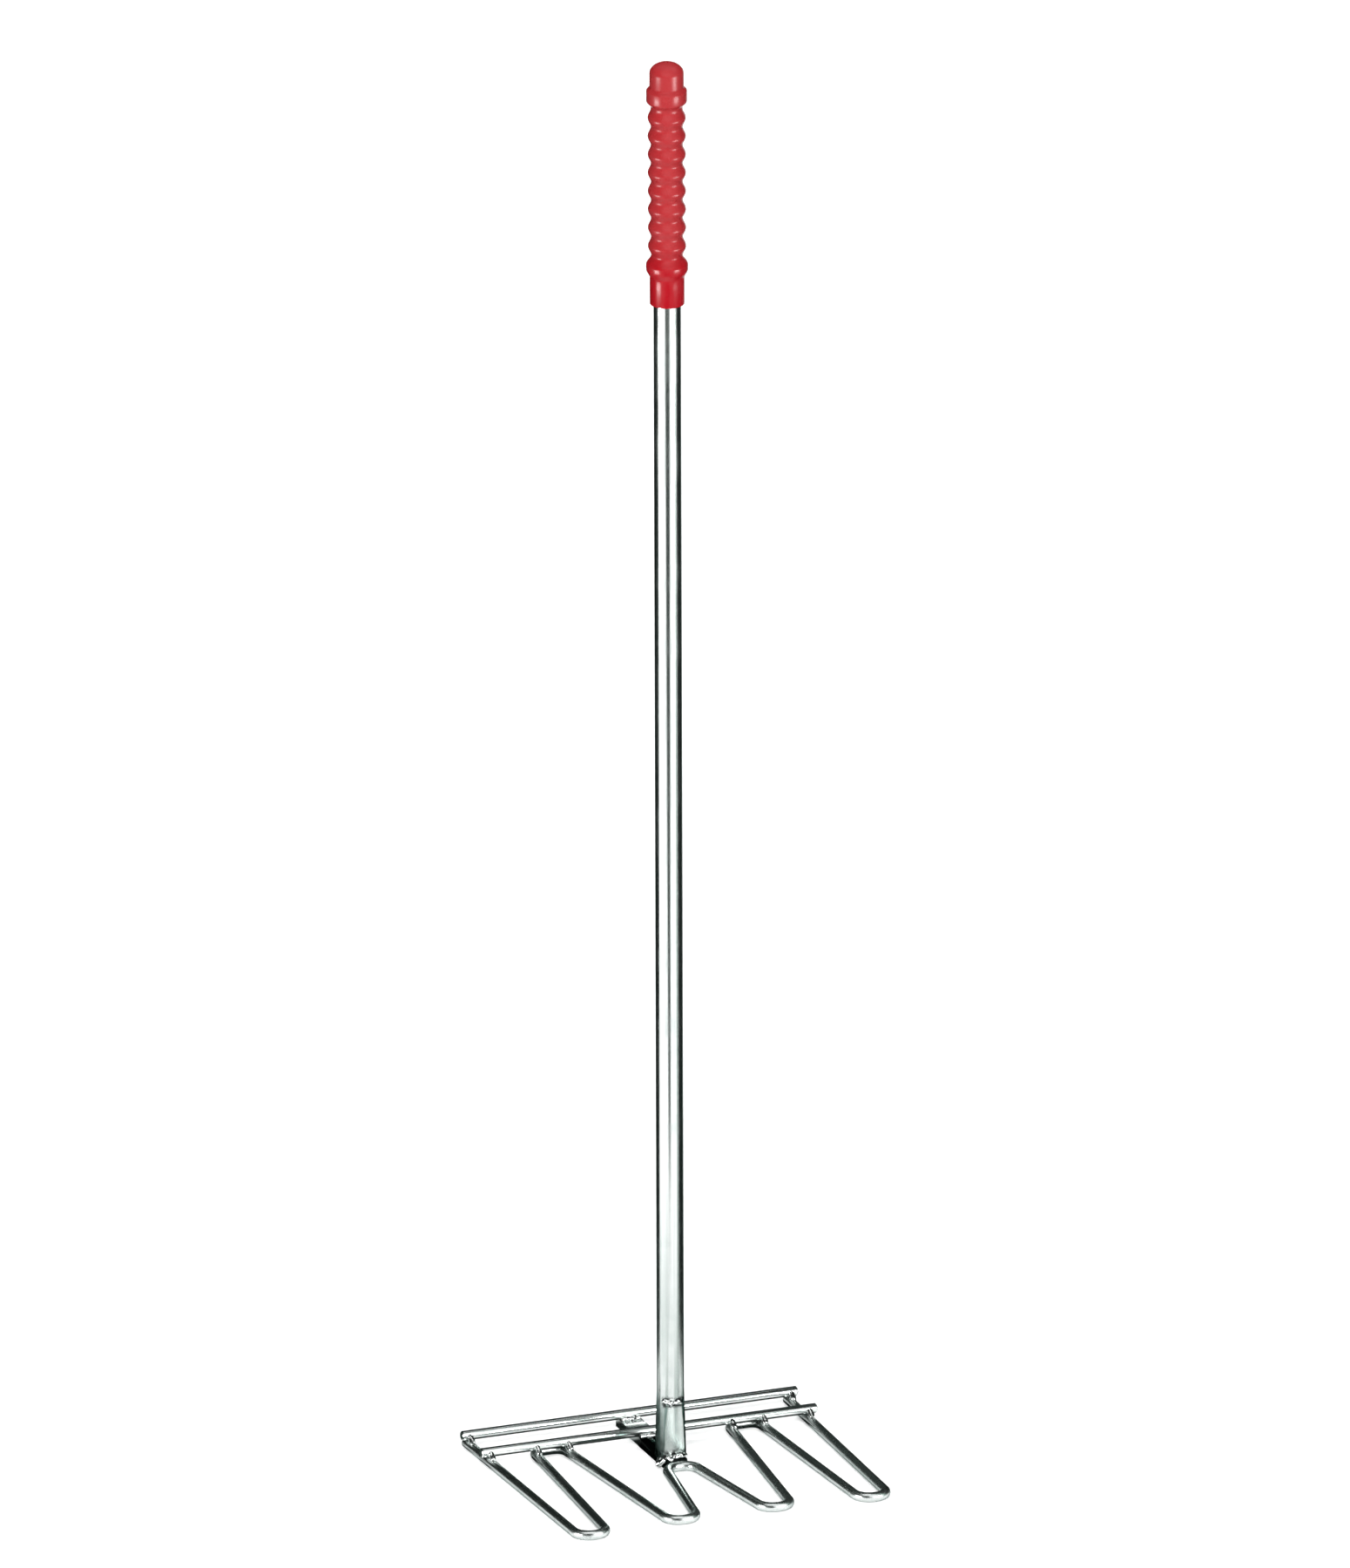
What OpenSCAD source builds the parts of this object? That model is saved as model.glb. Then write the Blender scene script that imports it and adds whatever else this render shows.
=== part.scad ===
// Long-handled loop-tine fork, millimetres, +Z up.
// The origin is on the ground under the axis of the handle tube.
// +X runs along the two cross bars and the tines point along -Y.

/* [Rods and bars] */
// Diameter of the round rod used for the tines and both cross bars
rod_d = 8; // [6:0.5:12]
// Length of each cross bar
bar_len = 287; // [200:1:400]
// Distance from the tube axis back to the rear bar
rear_bar_y = 91.5; // [70:0.5:140]
// Distance from the tube axis back to the front bar
front_bar_y = 48.5; // [30:0.5:70]
// Chamfer on the sawn ends of the cross bars
end_chamfer = 0.8; // [0:0.1:2]

/* [Tines] */
// Reach of the two outer tines in front of the tube axis, to the rod centre line
outer_reach = 142; // [100:1:200]
// Reach of the two inner tines in front of the tube axis, to the rod centre line
inner_reach = 135; // [100:1:200]
// Outer leg of an outer tine at the rear bar, measured from the middle
outer_leg_rear = 137.4; // [100:0.2:180]
// Outer leg of an outer tine at its tip
outer_leg_tip = 132.6; // [100:0.2:180]
// Inner leg of an outer tine at its tip
inner_leg_tip = 107.8; // [80:0.2:150]
// Inner leg of an outer tine at the rear bend
inner_leg_rear = 96; // [70:0.2:130]
// Outer leg of an inner tine at the rear bend
near_leg_rear = 71.2; // [50:0.2:100]
// Outer leg of an inner tine at its tip
near_leg_tip = 52; // [30:0.2:80]
// Middle leg of an inner tine at its tip
mid_leg_tip = 28.8; // [15:0.2:50]
// Middle leg of an inner tine at the bend in front of the tube
mid_leg_rear = 11.4; // [5:0.2:25]
// Distance of the middle bend in front of the tube axis
mid_bend_y = 18; // [12:0.5:30]
// How far the rear bends lie behind the front bar
rear_bend_set = 7.5; // [0:0.5:15]
// Bend radius of the tine tips, to the rod centre line
tip_r = 12.6; // [8:0.1:20]
// Bend radius of the rear bends, to the rod centre line
bend_r = 8; // [5:0.1:14]
// Bend radius of the middle bend in front of the tube, to the rod centre line
mid_r = 11.6; // [6:0.1:12.6]

/* [Handle tube] */
// Outside diameter of the handle tube
tube_d = 22; // [16:0.5:32]
// Wall of the handle tube
tube_wall = 1.5; // [1:0.1:3]
// Height of the tube's upper end above the ground
tube_top = 1178; // [800:1:1500]
// Height where the pressed foot begins
press_top = 64; // [40:1:120]
// Height where the pressed flat has its upper edge
flat_top = 54; // [30:1:100]
// Height below which the flat has its full depth
flat_full = 34; // [15:1:60]
// Distance of the pressed flat in front of the tube axis
flat_y = 9.2; // [6:0.2:10.4]
// Half width of the pressed foot at the bottom
foot_half = 12.6; // [11:0.1:16]
// How much less deep the flat is at its upper edge
flat_rise = 1; // [0.4:0.1:3]

/* [Strap] */
// Width of the flat strap under the bars
strap_w = 18; // [10:1:30]
// How far the strap runs past the rear bar
strap_over = 6; // [0:0.5:20]

/* [Hand grip] */
// Height of the open lower end of the grip
grip_low = 985.5; // [600:0.5:1300]
// Height of the top of the grip
grip_top = 1190; // [800:1:1500]
// Radius of the plain sleeve at the lower end
sleeve_r = 14; // [12:0.1:18]
// Radius of the grooves between the ribs
valley_r = 12.8; // [11.6:0.05:16]
// Radius over the ribs
rib_r = 15.3; // [13:0.1:20]
// Radius over the lower collar
low_collar_r = 16.9; // [14:0.1:22]
// Radius over the upper collar
high_collar_r = 16.4; // [14:0.1:22]
// Radius of the end cap
cap_r = 13.8; // [12:0.1:18]
// Height of the lowest rib
first_rib = 1034.6; // [650:0.2:1350]
// Distance from rib to rib
rib_pitch = 15.53; // [8:0.01:24]
// Number of ribs
rib_count = 8; // [3:1:14]
// Height of the middle of the lower collar
low_collar = 1017; // [640:0.2:1330]
// Length of the level band round the lower collar
low_band = 3; // [1:0.5:10]
// Height of the middle of the upper collar
high_collar = 1162; // [700:0.2:1450]
// Length of the level band round the upper collar
high_band = 8; // [1:0.5:12]
// Height of the domed end of the cap
dome_h = 9; // [2:0.1:13]

/* [Welds] */
// Radius of the weld beads
bead_r = 2.7; // [1.5:0.1:4]

/* [Hidden] */
$fn = 64;
rod_z = rod_d / 2;
slip = 0.2;
run_d = rod_d - 0.12;
bar_z = rod_d * 1.5;
strap_h = rod_d;
tube_r = tube_d / 2;
foot_z = strap_h;
rear_bend_y = front_bar_y + rear_bend_set;
rod_end_y = rear_bar_y + rod_d / 2 + 1;
strap_front = -(mid_bend_y - rod_d / 2);
strap_rear = rear_bar_y + strap_over;
zinc = [0.80, 0.82, 0.84];
bead_tint = [0.70, 0.72, 0.73];
red = [0.76, 0.09, 0.12];

// Corner points of the one tine rod from the middle to the right rear end.
outer_lean = (outer_leg_rear - outer_leg_tip) / (rear_bar_y + outer_reach);
half_path = [
    [mid_leg_rear, -mid_bend_y],
    [mid_leg_tip, -inner_reach],
    [near_leg_tip, -inner_reach],
    [near_leg_rear, rear_bend_y],
    [inner_leg_rear, rear_bend_y],
    [inner_leg_tip, -outer_reach],
    [outer_leg_tip, -outer_reach],
    [outer_leg_rear + outer_lean * (rod_end_y - rear_bar_y), rod_end_y]
];
half_radius = [mid_r, tip_r, tip_r, bend_r, bend_r, tip_r, tip_r, 0];
last = len(half_path) - 1;
tine_path = concat(
    [for (i = [last:-1:0]) [-half_path[i][0], half_path[i][1]]],
    half_path
);
tine_radius = concat([for (i = [last:-1:0]) half_radius[i]], half_radius);

function unit(v) = v / norm(v);
function heading(v) = atan2(v[1], v[0]);
function cross_z(a, b) = a[0] * b[1] - a[1] * b[0];
// Angle between the two legs that meet at corner i.
function turn_at(p, i) = acos(unit(p[i] - p[i - 1]) * unit(p[i + 1] - p[i]));
// Length that a rounded corner takes from each of its two legs.
function setback(p, r, i) =
    (i == 0 || i == len(p) - 1) ? 0 : r[i] * tan(turn_at(p, i) / 2);

// One straight run of rod, a hair thinner than the bends so that it slips into their ends.
module rod_run(p, r, i) {
    way = unit(p[i + 1] - p[i]);
    a = p[i] + way * (setback(p, r, i) - (r[i] > 0 ? slip : 0));
    b = p[i + 1] - way * (setback(p, r, i + 1) - (r[i + 1] > 0 ? slip : 0));
    translate([a[0], a[1], rod_z])
        rotate([0, 0, heading(way)])
            rotate([0, 90, 0])
                cylinder(h = norm(b - a), d = run_d);
}

// One rounded corner of the rod, a part of a torus.
module rod_bend(p, r, i) {
    into = unit(p[i] - p[i - 1]);
    out = unit(p[i + 1] - p[i]);
    side = sign(cross_z(into, out));
    start = p[i] - into * setback(p, r, i);
    middle = start + side * r[i] * [-into[1], into[0]];
    first = side > 0 ? into : out;
    translate([middle[0], middle[1], rod_z])
        rotate([0, 0, heading(first) - side * 90])
            rotate_extrude(angle = turn_at(p, i))
                translate([r[i], 0])
                    circle(d = rod_d);
}

// The one bent rod that makes all four tines.
module tine_rod() {
    color(zinc)
    union() {
        for (i = [0:len(tine_path) - 2])
            rod_run(tine_path, tine_radius, i);
        for (i = [1:len(tine_path) - 2])
            rod_bend(tine_path, tine_radius, i);
    }
}

// A straight cross bar with chamfered ends.
module cross_bar(y) {
    translate([-bar_len / 2, y, bar_z])
        rotate([0, 90, 0]) {
            translate([0, 0, end_chamfer])
                cylinder(h = bar_len - 2 * end_chamfer, d = rod_d);
            cylinder(h = end_chamfer, d1 = rod_d - 2 * end_chamfer, d2 = rod_d);
            translate([0, 0, bar_len - end_chamfer])
                cylinder(h = end_chamfer, d1 = rod_d, d2 = rod_d - 2 * end_chamfer);
        }
}

module front_bar() {
    color(zinc) cross_bar(front_bar_y);
}

module rear_bar() {
    color(zinc) cross_bar(rear_bar_y);
}

// The flat strap that ties both bars to the foot of the tube.
module spine_strap() {
    color(zinc)
    translate([-strap_w / 2, strap_front, 0])
        cube([strap_w, strap_rear - strap_front, strap_h]);
}

// The space in front of the pressed flat, seen from the side and run across the tube.
module flat_cut(inset) {
    rotate([90, 0, -90])
        linear_extrude(height = 4 * tube_d, center = true)
            polygon([
                [flat_y - inset, -1],
                [flat_y - inset, flat_full],
                [flat_y + flat_rise - inset, flat_top],
                [tube_r + 1 - inset, flat_top + 2],
                [4 * tube_r, flat_top + 2],
                [4 * tube_r, -1]
            ]);
}

// The lower end of the tube, spread a little and flattened at the front.
module foot_form(inset, low) {
    difference() {
        translate([0, 0, low])
            cylinder(h = press_top - low, r1 = foot_half - inset, r2 = tube_r - inset);
        flat_cut(inset);
    }
}

// The handle tube with its lower end pressed flat at the front.
module handle_tube() {
    color(zinc)
    difference() {
        union() {
            translate([0, 0, press_top])
                cylinder(h = tube_top - press_top, r = tube_r);
            foot_form(0, foot_z);
        }
        translate([0, 0, press_top])
            cylinder(h = tube_top - press_top + 1, r = tube_r - tube_wall);
        foot_form(tube_wall, foot_z - 0.5);
    }
}

// Radius of the grip's outside at a given height between the two collars.
function rib_wave(z) =
    (rib_r + valley_r) / 2 + (rib_r - valley_r) / 2 * cos(360 * (z - first_rib) / rib_pitch);
// A rounded rise from one radius and height to another, without its last point.
rise_steps = 8;
function rise(r0, z0, r1, z1) = [
    for (i = [0:rise_steps - 1])
        let (t = i / rise_steps) [r0 + (r1 - r0) * (1 - cos(180 * t)) / 2, z0 + (z1 - z0) * t]
];

wave_low = first_rib - rib_pitch / 2;
wave_high = first_rib + rib_pitch * (rib_count - 0.5);
low_end = low_collar - low_band / 2 - 8;
high_start = wave_high + 1.5;
high_end = high_collar + high_band / 2 + 4;
dome_z = grip_top - dome_h;
grip_side = concat(
    [[sleeve_r - 0.5, grip_low], [sleeve_r, grip_low + 0.7]],
    rise(sleeve_r, low_end, low_collar_r, low_collar - low_band / 2),
    [[low_collar_r, low_collar - low_band / 2]],
    rise(low_collar_r, low_collar + low_band / 2, valley_r, wave_low),
    [for (i = [0:rib_count * 12]) [rib_wave(wave_low + rib_pitch * i / 12), wave_low + rib_pitch * i / 12]],
    rise(valley_r, high_start, high_collar_r, high_collar - high_band / 2),
    [[high_collar_r, high_collar - high_band / 2]],
    rise(high_collar_r, high_collar + high_band / 2, cap_r, high_end),
    [[cap_r, high_end]],
    [for (i = [0:11]) [cap_r * cos(90 * i / 12), dome_z + dome_h * sin(90 * i / 12)]],
    [[0, grip_top], [0, tube_top], [tube_r, tube_top], [tube_r, grip_low]]
);

// The ribbed push-on grip with a collar at each end of the ribs and a closed cap.
module hand_grip() {
    color(red)
    rotate_extrude($fn = 96)
        polygon(grip_side);
}

// A short run of weld from the front of a bar down onto the rod under it.
module bead(x, y) {
    translate([x, y, 0]) {
        translate([0, -rod_d * 0.50, bar_z - 0.8])
            sphere(r = bead_r * 0.92);
        translate([0.3, -rod_d * 0.80, rod_d + 1.3])
            sphere(r = bead_r);
        translate([-0.2, -rod_d * 1.16, rod_d + 0.1])
            sphere(r = bead_r * 0.94);
    }
}

// Where a leg crosses a given Y, to place a bead over its middle.
function leg_x(a, b, y) = a[0] + (b[0] - a[0]) * (y - a[1]) / (b[1] - a[1]);
weld_y = front_bar_y - rod_d * 0.6;
leg_weld_x = [
    leg_x(half_path[2], half_path[3], weld_y),
    leg_x(half_path[5], half_path[4], weld_y),
    leg_x(half_path[6], half_path[7], weld_y)
];

module front_bar_welds() {
    color(bead_tint)
    difference() {
        for (x = leg_weld_x, s = [-1, 1])
            bead(s * x, front_bar_y);
        front_bar();
        tine_rod();
    }
}

module rear_bar_welds() {
    color(bead_tint)
    difference() {
        for (s = [-1, 1])
            bead(s * leg_x(half_path[6], half_path[7], rear_bar_y), rear_bar_y);
        rear_bar();
        tine_rod();
    }
}

module strap_welds() {
    color(bead_tint)
    difference() {
        for (y = [front_bar_y, rear_bar_y])
            for (k = [-2:2])
                translate([k * strap_w * 0.19, y - rod_d * 0.56, rod_d + 1.4])
                    sphere(r = bead_r * (1 - 0.06 * abs(k)));
        front_bar();
        rear_bar();
        spine_strap();
    }
}

// The uneven ring of weld round the foot of the tube: place and size of each run.
foot_beads = [
    [-7.6, -10.2, 9.4, 1.05], [-4.0, -10.8, 9.6, 1.12], [-0.2, -10.4, 9.3, 0.95],
    [3.6, -10.9, 9.4, 1.05], [7.2, -10.2, 9.3, 0.95],
    [-10.0, -4.6, 6.4, 1.30], [-11.9, -6.2, 3.4, 1.20],
    [-7.8, 8.8, 8.8, 1.10], [0.2, 12.2, 9.0, 1.20], [7.8, 8.8, 8.8, 1.10]
];

module foot_weld() {
    color(bead_tint)
    difference() {
        for (b = foot_beads)
            translate([b[0], b[1], b[2]])
                sphere(r = bead_r * b[3]);
        foot_form(0, 0);
        spine_strap();
        tine_rod();
    }
}

// The bead round the upper edge of the pressed flat: place across, rise and size of each run.
flat_beads = [
    [-8.2, 2.4, 0.80], [-6.2, 2.7, 1.00], [-3.8, 2.0, 0.85],
    [-1.4, 1.4, 0.85], [1.0, 1.7, 0.95], [3.4, 2.1, 0.85]
];

module flat_weld() {
    color(bead_tint)
    difference() {
        for (b = flat_beads)
            translate([b[0], 1.2 - sqrt(tube_r * tube_r - b[0] * b[0]), flat_top + b[1]])
                sphere(r = bead_r * b[2]);
        foot_form(0, foot_z);
    }
}

handle_tube();
hand_grip();
tine_rod();
front_bar();
rear_bar();
spine_strap();
front_bar_welds();
rear_bar_welds();
strap_welds();
foot_weld();
flat_weld();
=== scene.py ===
# %% [markdown]
# # A loop-tine hand fork, dressed for its picture
# The fork is a long zinc-plated tube with a red grip, and at its foot a flat head: two straight bars and
# one bent rod that makes four looped tines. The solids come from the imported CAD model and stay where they
# are. This lesson adds what the solids don't have: rippled welds, a smooth moulded grip, finishes and light.

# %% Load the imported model
import math

import bpy
from mathutils import Matrix, Vector


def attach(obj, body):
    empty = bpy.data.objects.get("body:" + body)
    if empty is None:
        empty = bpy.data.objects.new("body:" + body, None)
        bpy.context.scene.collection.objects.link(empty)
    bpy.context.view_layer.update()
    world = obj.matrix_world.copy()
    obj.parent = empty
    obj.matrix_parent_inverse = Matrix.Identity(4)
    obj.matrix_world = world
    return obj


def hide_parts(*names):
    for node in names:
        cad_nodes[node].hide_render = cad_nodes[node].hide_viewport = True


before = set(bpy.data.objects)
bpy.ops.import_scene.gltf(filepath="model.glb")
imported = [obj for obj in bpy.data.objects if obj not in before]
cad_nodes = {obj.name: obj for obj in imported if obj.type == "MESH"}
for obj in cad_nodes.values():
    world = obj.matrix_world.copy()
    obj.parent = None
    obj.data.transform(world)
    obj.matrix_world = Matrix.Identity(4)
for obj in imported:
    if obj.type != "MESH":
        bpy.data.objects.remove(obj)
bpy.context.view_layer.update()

scene = bpy.context.scene
MM = 0.001

# %% [markdown]
# ## The camera
# The photograph was taken from far away with a long lens: the two bars stay parallel and the tube doesn't
# narrow upwards. An orthographic camera gives the same flat drawing. Its axes are written out as three
# vectors, so that the turn and the tilt are easy to read and to change.

# %% Place the camera
turn, tilt = math.radians(21.17), math.radians(20.02)
view_right = Vector((math.cos(turn), -math.sin(turn), 0))
view_up = Vector((math.sin(turn) * math.sin(tilt), math.cos(turn) * math.sin(tilt), math.cos(tilt)))
view_back = view_right.cross(view_up)
photo_rows, pixels_per_mm = 1800, 1.439
frame_height = photo_rows / pixels_per_mm * MM
aim_right, aim_up, away = 5.1, 542.4, 8.0
lean = math.radians(-0.166)
aim = view_right * aim_right * MM + view_up * aim_up * MM
camera_data = bpy.data.cameras.new("camera")
camera_data.type = "ORTHO"
camera_data.ortho_scale = frame_height
camera = bpy.data.objects.new("camera", camera_data)
axes = Matrix((view_right, view_up, view_back)).transposed()
stand = Matrix.Translation(aim + view_back * away)
camera.matrix_world = stand @ axes.to_4x4() @ Matrix.Rotation(lean, 4, "Z")
scene.collection.objects.link(camera)
scene.camera = camera
scene.view_settings.view_transform = "Standard"
print("picture height in metres", round(frame_height, 4))

# %% [markdown]
# ## Shader maths in plain Python
# A material is a net of nodes, and small sums in it take many nodes. One small class wraps a socket, so that
# a sum such as 1 - mask adds its Math node by itself, and one method makes any other node.

# %% A socket that can be reckoned with
class Shade:
    def __init__(self, tree, socket=None):
        self.tree = tree
        self.socket = socket

    def node(self, kind, settings=None, inputs=None, out=0):
        made = self.tree.nodes.new(kind)
        for name, value in (settings or {}).items():
            if name == "stops":
                stops = made.color_ramp.elements
                while len(stops) < len(value):
                    stops.new(1.0)
                for stop, (place, colour) in zip(stops, value):
                    stop.position = place
                    stop.color = colour
            else:
                setattr(made, name, value)
        for name, value in (inputs or {}).items():
            if isinstance(value, Shade):
                self.tree.links.new(value.socket, made.inputs[name])
            else:
                made.inputs[name].default_value = value
        return Shade(self.tree, made.outputs[out] if len(made.outputs) else None)

    def maths(self, operation, a, b=0.0):
        return self.node("ShaderNodeMath", {"operation": operation}, {0: a, 1: b})

    def __add__(self, other):
        return self.maths("ADD", self, other)

    def __radd__(self, other):
        return self.maths("ADD", other, self)

    def __sub__(self, other):
        return self.maths("SUBTRACT", self, other)

    def __rsub__(self, other):
        return self.maths("SUBTRACT", other, self)

    def __mul__(self, other):
        return self.maths("MULTIPLY", self, other)

    def __rmul__(self, other):
        return self.maths("MULTIPLY", other, self)

    def ramp(self, low, high):
        """0 below low and 1 above high, with a soft step between."""
        settings = {"interpolation_type": "SMOOTHSTEP"}
        return self.node("ShaderNodeMapRange", settings, {"Value": self, "From Min": low, "From Max": high})

    def blend(self, a, b):
        """Colour a where this value is 0 and colour b where it is 1."""
        settings = {"data_type": "RGBA"}
        return self.node("ShaderNodeMix", settings, {"Factor": self, 6: a, 7: b}, out=2)


def new_finish(name):
    material = bpy.data.materials.new(name)
    material.use_nodes = True
    tree = material.node_tree
    tree.nodes.clear()
    start = Shade(tree)
    place = start.node("ShaderNodeTexCoord", out="Object")
    return material, start, place


def close_finish(start, **inputs):
    surface = start.node("ShaderNodeBsdfPrincipled", None, inputs)
    start.node("ShaderNodeOutputMaterial", None, {"Surface": surface})


print("shader helper ready")

# %% [markdown]
# ## Bright zinc plate
# The tube, the bars, the rod and the strap are plated with zinc: a bright, slightly cool metal. Under the
# plate the steel is drawn, so faint lines run along each piece. Over it lie soft clouds, where the plate is
# duller, and small grey freckles. Noise that is stretched along the piece gives the lines, round noise gives
# the clouds, and both change the colour, the roughness and a very low bump. The lower part of the tube and
# the front of the strap fade in streaks into a darker colour, which is painted shade. On the tube there is
# also painted shade beside the pressed flat, and burnt specks round the two welds.

# %% The zinc finish
flat_depth, flat_bends, flat_slope = 0.0092, 0.034, 0.05
# Heights where the painted shade beside the tube's flat is full and where it is gone.
flank_shade_full, flank_shade_gone = 0.046, 0.070
burnt_colour = (0.03, 0.034, 0.033, 1)


def stretched(along, across, lengthwise):
    """The scale of a noise that is drawn out along one axis."""
    scale = [across, across, across]
    scale["XYZ".index(along)] = lengthwise
    return scale


def zinc_finish(name, along, painted_shade=None, flank_shade=None, rough=0.13,
                bright=(0.80, 0.825, 0.815, 1), dull=(0.56, 0.61, 0.595, 1)):
    """Zinc drawn along one axis. A darkening of painted shade has an axis, its two ends there, a colour and a
    strength.

    A flank colour is painted shade beside the tube's flat, and rough is the plate's lowest roughness.
    """
    material, start, place = new_finish(name)
    fine, broad = stretched(along, 900.0, 9.0), stretched(along, 160.0, 5.0)
    drawn = start.node("ShaderNodeMapping", None, {"Vector": place, "Scale": fine})
    lines = start.node("ShaderNodeTexNoise", None, {"Vector": drawn, "Scale": 1.0, "Detail": 3.0})
    clouds = start.node("ShaderNodeTexNoise", None, {"Vector": place, "Scale": 42.0, "Detail": 4.0})
    grain = start.node("ShaderNodeTexNoise", None, {"Vector": place, "Scale": 700.0, "Detail": 2.0})
    cells = start.node("ShaderNodeTexVoronoi", None, {"Vector": place, "Scale": 260.0})
    freckles = 1 - cells.ramp(0.05, 0.16)
    duller = clouds.ramp(0.42, 0.72) * 0.55 + lines.ramp(0.35, 0.75) * 0.30 + freckles * 0.12
    colour = duller.blend(bright, dull)
    rough = rough + duller * 0.11 + grain * 0.05
    streaked = start.node("ShaderNodeMapping", None, {"Vector": place, "Scale": broad})
    streaks = start.node("ShaderNodeTexNoise", None, {"Vector": streaked, "Scale": 1.0, "Detail": 2.0})
    # Painted shade: from one end along the axis the plate fades in streaks into the dark colour.
    if painted_shade:
        axis, full, gone, dark, strength = painted_shade
        where = start.node("ShaderNodeSeparateXYZ", None, {"Vector": place}, out=axis)
        ragged = where + clouds * (0.3 * (gone - full))
        shade_share = (1 - ragged.ramp(full, gone)) * (strength * (0.35 + streaks.ramp(0.35, 0.62) * 0.65))
        colour = shade_share.blend(colour, dark)
        rough = rough + shade_share * 0.08
    # Painted shade: the tube's flank beside the pressed flat turns dark in streaks near the foot.
    if flank_shade:
        y = start.node("ShaderNodeSeparateXYZ", None, {"Vector": place}, out="Y")
        z = start.node("ShaderNodeSeparateXYZ", None, {"Vector": place}, out="Z")
        flat_front = flat_depth + start.maths("MAXIMUM", z - flat_bends, 0.0) * flat_slope
        beside = 1 - (0 - y - flat_front).ramp(-0.0008, -0.0002)
        flank_shaded = beside * (1 - z.ramp(flank_shade_full, flank_shade_gone)) * (0.5 + streaks.ramp(0.35, 0.62) * 0.5)
        colour = flank_shaded.blend(colour, flank_shade)
        specks = start.node("ShaderNodeTexNoise", None, {"Vector": place, "Scale": 330.0, "Detail": 2.0})
        round_flat = z.ramp(0.0500, 0.0530) * (1 - z.ramp(0.0585, 0.0615)) * (0 - y).ramp(0.004, 0.008)
        round_foot = 1 - z.ramp(0.012, 0.018)
        burnt = start.maths("MAXIMUM", round_flat, round_foot) * specks.ramp(0.44, 0.54)
        colour = burnt.blend(colour, burnt_colour)
    height = lines * 0.7 + grain * 0.3
    bump = start.node("ShaderNodeBump", None, {"Height": height, "Strength": 0.03, "Distance": 0.0002})
    # The dark Specular Tint dims the plate towards its outline: painted shade along the rims.
    close_finish(start, **{"Base Color": colour, "Metallic": 1.0, "Roughness": rough, "Normal": bump,
                           "Specular Tint": (0.10, 0.13, 0.12, 1)})
    return material


# Painted shade on the tube: its lower part fades into darker grey, and its flank beside the flat turns dark.
zinc_up = zinc_finish("zinc along the tube", "Z", ("Z", 0.05, 0.34, (0.30, 0.35, 0.33, 1), 0.95),
                      flank_shade=(0.13, 0.20, 0.18, 1))
zinc_across = zinc_finish("zinc along the bars", "X")
# The tines' zinc is a darker copy of the plate: painted shade, so the white floor they mirror reads grey.
zinc_tines = zinc_finish("zinc along the tines", "Y", rough=0.21,
                         bright=(0.68, 0.71, 0.70, 1), dull=(0.42, 0.47, 0.455, 1))
# Painted shade on the strap: its front part turns nearly black.
zinc_strap = zinc_finish("zinc along the strap", "Y", ("Y", 0.040, 0.058, (0.02, 0.026, 0.025, 1), 2.2))
plated = {"handle_tube": zinc_up, "front_bar": zinc_across, "rear_bar": zinc_across,
          "tine_rod": zinc_tines, "spine_strap": zinc_strap}
for node_name, finish in plated.items():
    cad_nodes[node_name].data.materials.clear()
    cad_nodes[node_name].data.materials.append(finish)
print("zinc on", len(plated), "solids")

# %% [markdown]
# ## The red grip
# The real grip is a moulded sleeve with eight round ribs, a thicker collar at each end of them and a domed
# cap. It is round all over, so it could be spun from a drawn outline. Here it grows as on a lathe: one ring is
# extruded upwards again and again, and each new ring is scaled to the radius that the outline has there.

# %% The grip's outline, in millimetres
bore_r, tube_top, grip_foot, grip_top, dome_h = 11.0, 1178.0, 985.5, 1190.0, 9.0
sleeve_r, valley_r, rib_r, cap_r = 14.0, 12.8, 15.3, 13.8
low_collar, low_collar_r, low_band = 1017.0, 16.9, 3.0
high_collar, high_collar_r, high_band = 1162.0, 16.4, 8.0
first_rib, rib_pitch, rib_count = 1034.6, 15.53, 8
low_flare, last_groove, high_fall = 8.0, 1.5, 4.0
wave_low, wave_high = first_rib - rib_pitch / 2, first_rib + rib_pitch * (rib_count - 0.5)


def swell(r0, r1, z0, z1, steps):
    """Rings that pass softly from one radius and height to another, without the first."""
    shares = [i / steps for i in range(1, steps + 1)]
    return [(r0 + (r1 - r0) * (1 - math.cos(math.pi * t)) / 2, z0 + (z1 - z0) * t) for t in shares]


band_foot, band_head = low_collar - low_band / 2, low_collar + low_band / 2
outline = [(sleeve_r - 0.55, grip_foot), (sleeve_r - 0.15, grip_foot + 0.25), (sleeve_r, grip_foot + 0.8),
           (sleeve_r, band_foot - 1.5 * low_flare), (sleeve_r, band_foot - low_flare)]
outline += swell(sleeve_r, low_collar_r, band_foot - low_flare, band_foot, 9)
outline += [(low_collar_r, band_head)] + swell(low_collar_r, valley_r, band_head, wave_low, 9)
for rib in range(rib_count):
    foot = wave_low + rib * rib_pitch
    outline += swell(valley_r, rib_r, foot, foot + rib_pitch / 2, 8)
    outline += swell(rib_r, valley_r, foot + rib_pitch / 2, foot + rib_pitch, 8)
band_foot, band_head = high_collar - high_band / 2, high_collar + high_band / 2
groove_end = wave_high + last_groove
outline += [(valley_r, groove_end)] + swell(valley_r, high_collar_r, groove_end, band_foot, 9)
outline += [(high_collar_r, band_head)] + swell(high_collar_r, cap_r, band_head, band_head + high_fall, 7)
for step in range(18):
    bend = math.radians(step * 5)
    outline.append((cap_r * math.cos(bend), grip_top - dome_h + dome_h * math.sin(bend)))
print("rings in the outline", len(outline))

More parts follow.
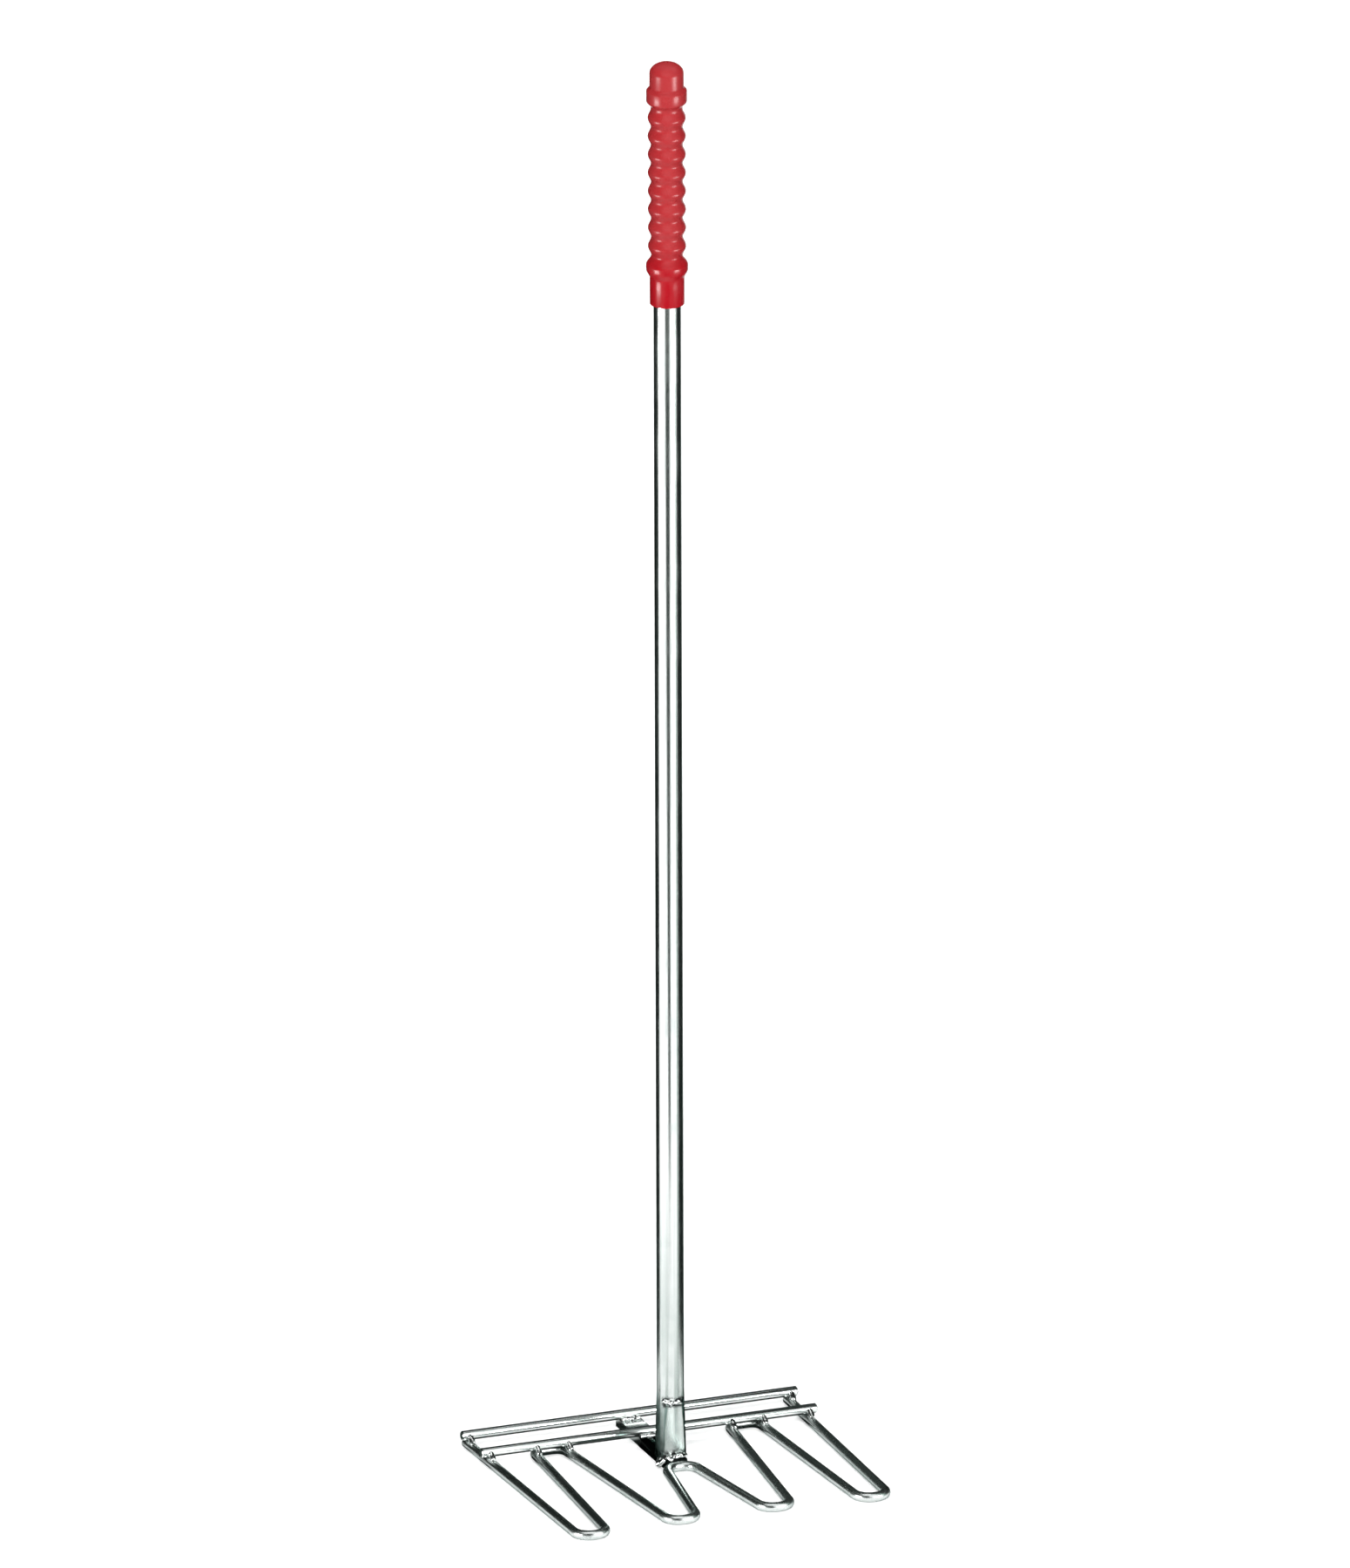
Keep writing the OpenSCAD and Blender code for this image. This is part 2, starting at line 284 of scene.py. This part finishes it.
# %% Grow the grip ring by ring
bpy.ops.object.select_all(action="DESELECT")
bpy.ops.mesh.primitive_circle_add(
    vertices=96, radius=bore_r * MM, fill_type="NGON", location=(0, 0, tube_top * MM))
grip = bpy.context.object
grip.name = "ribbed_grip"
bpy.ops.object.transform_apply(location=True)
bpy.ops.object.mode_set(mode="EDIT")
bpy.ops.mesh.select_all(action="SELECT")
r_now, z_now = bore_r, tube_top
for r, z in [(bore_r, grip_foot)] + outline:
    bpy.ops.mesh.extrude_region_move(TRANSFORM_OT_translate={"value": (0, 0, (z - z_now) * MM)})
    bpy.ops.transform.resize(value=(r / r_now, r / r_now, 1), center_override=(0, 0, z * MM))
    r_now, z_now = r, z
bpy.ops.mesh.merge(type="CENTER")
bpy.ops.mesh.select_all(action="SELECT")
bpy.ops.mesh.normals_make_consistent(inside=False)
bpy.ops.object.mode_set(mode="OBJECT")
bpy.ops.object.shade_smooth_by_angle(angle=math.radians(40))
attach(grip, "root")
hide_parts("hand_grip")
print("grip faces", len(grip.data.polygons))

# %% [markdown]
# The grip is soft red plastic, a little deeper in colour at its lower end. It is smooth with a faint skin,
# so it gets a low, fine bump, a soft gloss, and slight clouds in the red.

# %% The grip's finish
red_grip, start, place = new_finish("red grip")
height = start.node("ShaderNodeSeparateXYZ", None, {"Vector": place}, out="Z")
clouds = start.node("ShaderNodeTexNoise", None, {"Vector": place, "Scale": 60.0, "Detail": 3.0})
skin = start.node("ShaderNodeTexNoise", None, {"Vector": place, "Scale": 1500.0, "Detail": 2.0})
upper = height.ramp(1.006, 1.046)
red = upper.blend((0.33, 0.002, 0.008, 1), (0.345, 0.021, 0.025, 1))
worn = (clouds.ramp(0.45, 0.75) * 0.4).blend(red, (0.36, 0.030, 0.036, 1))
bump = start.node("ShaderNodeBump", None, {"Height": skin, "Strength": 0.06, "Distance": 0.0002})
close_finish(start, **{"Base Color": worn, "Roughness": 0.20 + upper * 0.05 + clouds * 0.05, "Normal": bump,
                       "Specular IOR Level": 0.16})
for piece in (grip, cad_nodes["hand_grip"]):
    piece.data.materials.clear()
    piece.data.materials.append(red_grip)
print("finish", red_grip.name)

# %% [markdown]
# ## The welds
# A weld is a row of drops of steel that ran into each other, so each bead has scales like a pile of coins.
# Spheres pressed flat along the run are laid one over the other, melted into one skin by a voxel remesh and
# smoothed a little, which keeps the scales. The runs follow the solids that the CAD model has in these places.

# %% Lay a run of weld
def spread(points, count):
    """Evenly spaced drops along a line of points, each point with its own radius."""
    made = []
    for i in range(count):
        t = i / (count - 1) * (len(points) - 1)
        k = min(int(t), len(points) - 2)
        a, b = Vector(points[k]), Vector(points[k + 1])
        made.append(a.lerp(b, t - k))
    return made


def lay_weld(name, runs, node, voxel=0.32):
    """Drops of the given places and radii, in millimetres, melted into one piece that stands for a CAD node."""
    bpy.ops.object.select_all(action="DESELECT")
    drops = []
    for run in runs:
        for i, (x, y, z, r) in enumerate(run):
            following = run[min(i + 1, len(run) - 1)]
            behind = run[max(i - 1, 0)]
            way = (Vector(following[:3]) - Vector(behind[:3])).to_track_quat("Z", "Y").to_euler()
            bpy.ops.mesh.primitive_uv_sphere_add(
                segments=24, ring_count=14, radius=r * MM, location=(x * MM, y * MM, z * MM), rotation=way)
            drop = bpy.context.object
            drop.scale = (1, 1, 0.55)
            drops.append(drop)
    for drop in drops:
        drop.select_set(True)
    bpy.ops.object.join()
    weld = bpy.context.object
    weld.name = name
    bpy.ops.object.transform_apply(location=True, rotation=True, scale=True)
    melt = weld.modifiers.new("melt", "REMESH")
    melt.mode = "VOXEL"
    melt.voxel_size = voxel * MM
    bpy.ops.object.modifier_apply(modifier="melt")
    even = weld.modifiers.new("even", "SMOOTH")
    even.iterations = 3
    bpy.ops.object.modifier_apply(modifier="even")
    bpy.ops.object.shade_smooth()
    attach(weld, "root")
    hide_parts(node)
    print(name, "faces", len(weld.data.polygons))
    return weld


# %% Welds of the bars
front_y, rear_y = 48.5, 91.5
leg_x, rod_end_x = [69.96, 96.73, 136.42], 137.4


def bar_bead(x, y):
    return spread([(x, y - 3.6, 12.2, 2.2), (x + 0.3, y - 6.4, 9.4, 2.75), (x - 0.2, y - 9.6, 8.3, 2.2)], 7)


def strap_bead(y):
    return spread([(-7.2, y - 4.3, 9.0, 1.9), (0.0, y - 4.5, 9.2, 2.3), (7.2, y - 4.3, 9.0, 1.9)], 11)


front_runs = [bar_bead(side * x, front_y) for x in leg_x for side in (-1, 1)]
rear_runs = [bar_bead(side * rod_end_x, rear_y) for side in (-1, 1)]
front_beads = lay_weld("front_bar_beads", front_runs, "front_bar_welds")
rear_beads = lay_weld("rear_bar_beads", rear_runs, "rear_bar_welds")
strap_beads = lay_weld("strap_beads", [strap_bead(front_y), strap_bead(rear_y)], "strap_welds")

# %% Welds of the tube's foot
foot_front = spread([
    (-12.3, -5.6, 3.7, 3.0), (-11.2, -7.6, 5.0, 2.3), (-9.0, -9.4, 7.4, 2.8), (-6.6, -10.2, 9.2, 2.0),
    (-4.2, -10.7, 9.5, 2.9), (-1.8, -10.3, 9.4, 1.9), (0.6, -10.7, 9.6, 2.7), (3.0, -10.5, 9.6, 2.0),
    (5.2, -10.4, 9.8, 2.8), (7.4, -9.6, 9.5, 1.9), (9.2, -8.0, 9.0, 2.4)], 25)
foot_left = spread([(-9.8, -4.4, 6.6, 3.2), (-11.8, -5.4, 4.0, 3.1)], 4)
foot_toe = spread([(-5.4, -12.6, 9.0, 2.0), (-4.2, -14.4, 8.6, 1.8)], 3)
foot_rear = spread([(-8.4, 7.6, 8.5, 2.1), (-4.6, 10.6, 8.7, 2.4), (0.2, 11.8, 8.8, 2.6),
                    (4.6, 10.6, 8.7, 2.4), (8.4, 7.6, 8.5, 2.1)], 13)
foot_beads = lay_weld("foot_beads", [foot_front, foot_left, foot_toe, foot_rear], "foot_weld")
flat_lumps = [(-8.6, 56.2, 1.9), (-7.2, 56.9, 2.7), (-5.6, 56.5, 1.9), (-3.8, 55.8, 2.5), (-2.2, 55.3, 1.7),
              (-0.6, 55.5, 2.4), (1.0, 55.7, 1.7), (2.6, 56.0, 2.4), (4.0, 56.3, 1.6)]
flat_run = spread([(x, 0.5 - math.sqrt(bore_r ** 2 - x ** 2), z, r) for x, z, r in flat_lumps], 19)
flat_beads = lay_weld("flat_beads", [flat_run], "flat_weld", voxel=0.26)

# %% [markdown]
# The welds were plated with the rest, so their drops shine. Between the drops lie black patches of painted
# shade, where shade falls between the lumps. One noise gives the patches and the low lumps of the skin.

# %% The weld finish
weld_finish, start, place = new_finish("plated weld")
lumps = start.node("ShaderNodeTexNoise", None, {"Vector": place, "Scale": 380.0, "Detail": 2.0})
# Painted shade: black patches between the bright drops.
unshaded_drops = lumps.ramp(0.37, 0.51)
colour = unshaded_drops.blend((0.05, 0.056, 0.054, 1), (0.95, 0.97, 0.96, 1))
bump = start.node("ShaderNodeBump", None, {"Height": lumps, "Strength": 0.45, "Distance": 0.0008})
# The dark Specular Tint dims the weld towards its outline: painted shade along the rims.
close_finish(start, **{"Base Color": colour, "Metallic": 1.0, "Roughness": 0.14 + lumps * 0.14, "Normal": bump,
                       "Specular Tint": (0.10, 0.13, 0.12, 1)})
weld_nodes = ("front_bar_welds", "rear_bar_welds", "strap_welds", "foot_weld", "flat_weld")
beads = [front_beads, rear_beads, strap_beads, foot_beads, flat_beads]
for piece in beads + [cad_nodes[name] for name in weld_nodes]:
    piece.data.materials.clear()
    piece.data.materials.append(weld_finish)
print("finish", weld_finish.name)

# %% [markdown]
# ## Studio floor and light
# The photograph has a white ground and almost no shadow. A wide sun from behind the camera lights the front of
# the grip and leaves its sides darker, and a weaker one fills its back. In a mirror a sun would be one hard
# white spot, so both light only matt surfaces. Two wide softboxes, left and right of the camera, do the
# opposite: they are seen only in reflections, where they give the two rows of small lights on the grip.

# %% [markdown]
# The floor glows a little of itself, like a light table, so that no shadow on it turns grey.

# %% Floor
bpy.ops.object.select_all(action="DESELECT")
bpy.ops.mesh.primitive_circle_add(vertices=96, radius=14.0, fill_type="NGON", location=(0, 0, 0))
floor = bpy.context.object
floor.name = "floor"
floor_paint, start, _ = new_finish("white floor")
close_finish(start, **{"Base Color": (0.86, 0.86, 0.86, 1), "Roughness": 0.9, "Specular IOR Level": 0.1,
                       "Emission Color": (1, 1, 1, 1), "Emission Strength": 0.26})
floor.data.materials.append(floor_paint)
print("floor", floor.name)

# %% Lamps
ahead = Vector((view_back.x, view_back.y, 0)).normalized()
aside = view_right


def bearing(degrees):
    """A level direction, counted from the camera's side towards the right."""
    return ahead * math.cos(math.radians(degrees)) + aside * math.sin(math.radians(degrees))


def soft_lamp(name, spot, target, size, power):
    data = bpy.data.lights.new(name, "AREA")
    data.shape = "RECTANGLE"
    data.size, data.size_y = size
    data.energy = power
    lamp = bpy.data.objects.new(name, data)
    lamp.location = spot
    lamp.rotation_euler = (target - spot).to_track_quat("-Z", "Y").to_euler()
    lamp.visible_camera = False
    scene.collection.objects.link(lamp)
    return lamp


def slanted(degrees, rise):
    """A direction that rises above the level of a bearing."""
    return bearing(degrees) * math.cos(math.radians(rise)) + Vector((0, 0, math.sin(math.radians(rise))))


def wide_sun(name, way, energy):
    data = bpy.data.lights.new(name, "SUN")
    data.energy = energy
    data.angle = math.radians(60)
    lamp = bpy.data.objects.new(name, data)
    lamp.location = way * 4
    lamp.rotation_euler = (-way).to_track_quat("-Z", "Y").to_euler()
    lamp.visible_glossy = False
    scene.collection.objects.link(lamp)


wide_sun("sun behind camera", slanted(0, 33), 4.0)
wide_sun("sun behind object", slanted(180, 55), 2.1)
grip_middle = Vector((0, 0, 1.09))
for side, degrees, level, power in (("left", -58, 0.36, 50), ("right", 54, 0.62, 43)):
    spot = bearing(degrees) * 2.0 + Vector((0, 0, level))
    softbox = soft_lamp("softbox " + side, spot, grip_middle, (0.9, 0.4), power)
    softbox.visible_diffuse = False

# %% Surroundings
world = bpy.data.worlds.new("studio")
world.use_nodes = True
world.node_tree.nodes.clear()
start = Shade(world.node_tree)
seen = start.node("ShaderNodeLightPath", out="Is Camera Ray")
air = seen.blend((0.038, 0.050, 0.046, 1), (0.93, 0.93, 0.93, 1))
background = start.node("ShaderNodeBackground", None, {"Color": air, "Strength": 1.0})
start.node("ShaderNodeOutputWorld", None, {"Surface": background})
scene.world = world
print("world", world.name)

# %% [markdown]
# ## What the metal mirrors
# Bright metal shows its surroundings more than its own colour. So a photographer stands plain boards round
# it: white ones that make the bars bright, black ones beside the tube that give it its two dark edges, and a
# grey one in front for the line down its middle. Two of them are wider at the top than at the foot. Black
# strips of painted shade lie on the floor under the bars, past their ends, beside the strap and the foot,
# where shadow would fall, so that the lower edges show against the white floor. Their rims are soft, so they
# don't end abruptly in the metal. All these are seen only in reflections.

# %% Boards that only reflections see
def board(name, spot, facing, size, colour, strength, top=1.0, fade=0.0):
    """A plain glowing board. Its upper edge is top times as wide as its lower one, and fade is its soft rim."""
    bpy.ops.object.select_all(action="DESELECT")
    way = facing.to_track_quat("Z", "Y").to_euler()
    bpy.ops.mesh.primitive_plane_add(size=1.0, location=spot, rotation=way)
    card = bpy.context.object
    card.name = name
    card.scale = (size[0], size[1], 1)
    for corner in card.data.vertices:
        if corner.co.y > 0:
            corner.co.x *= top
    paint, start, place = new_finish(name + " paint")
    shown = 1.0
    if fade:
        for axis, length in zip("XY", size):
            along = start.node("ShaderNodeSeparateXYZ", None, {"Vector": place}, out=axis)
            shown = shown * (1 - start.maths("ABSOLUTE", along).ramp(0.5 - fade / length, 0.5))
    close_finish(start, **{"Base Color": (0, 0, 0, 1), "Specular IOR Level": 0.0, "Alpha": shown,
                           "Emission Color": colour, "Emission Strength": strength})
    card.data.materials.append(paint)
    card.visible_camera = card.visible_shadow = card.visible_diffuse = False


def standing(name, degrees, distance, width, height, colour, strength, top=1.0):
    """A board that stands on the floor and faces the tube."""
    way = bearing(degrees)
    board(name, way * distance + Vector((0, 0, height / 2)), -way, (width, height), colour, strength, top)


white, black, grey = (1, 1, 1, 1), (0.55, 0.9, 0.75, 1), (0.84, 1, 0.94, 1)
sky_way, upward = slanted(35, 60), Vector((0, 0, 1))
board("board sky", sky_way * 3.2, -sky_way, (5.0, 5.0), white, 1.3)
board("board front", bearing(40) * 3.6 + upward * 0.9, -bearing(40), (3.2, 1.9), white, 1.3)
standing("board right", 110, 0.25, 0.32, 1.4, black, 0.015)
standing("board right edge", 69, 0.27, 0.05, 1.4, black, 0.35)
standing("board left", -121, 0.25, 0.25, 1.4, black, 0.015, top=2.1)
standing("board middle", 0, 0.7, 0.22, 0.8, grey, 0.07, top=2.3)
# Painted shade: black strips on the floor where shadow would fall, seen only in reflections.
strips = []
for name, y in (("front", front_y), ("rear", rear_y)):
    strips.append(("strip under " + name + " bar", (0, y + 3, 0.6), (0.298, 0.034), 0.02))
    strips.append(("strip left of " + name + " bar", (-162, y + 30, 0.5), (0.038, 0.038), 0.08))
    strips.append(("strip right of " + name + " bar", (225, y + 40, 0.3), (0.148, 0.050), 0.02))
strips.append(("strip beside strap", (-37, 12, 0.5), (0.058, 0.070), 0.05))
strips.append(("strip right of foot", (36, 12, 0.4), (0.056, 0.048), 0.02))
soft_rim = 0.010
for name, spot, size, strength in strips:
    board(name, Vector(spot) * MM, upward, size, black, strength, fade=soft_rim)
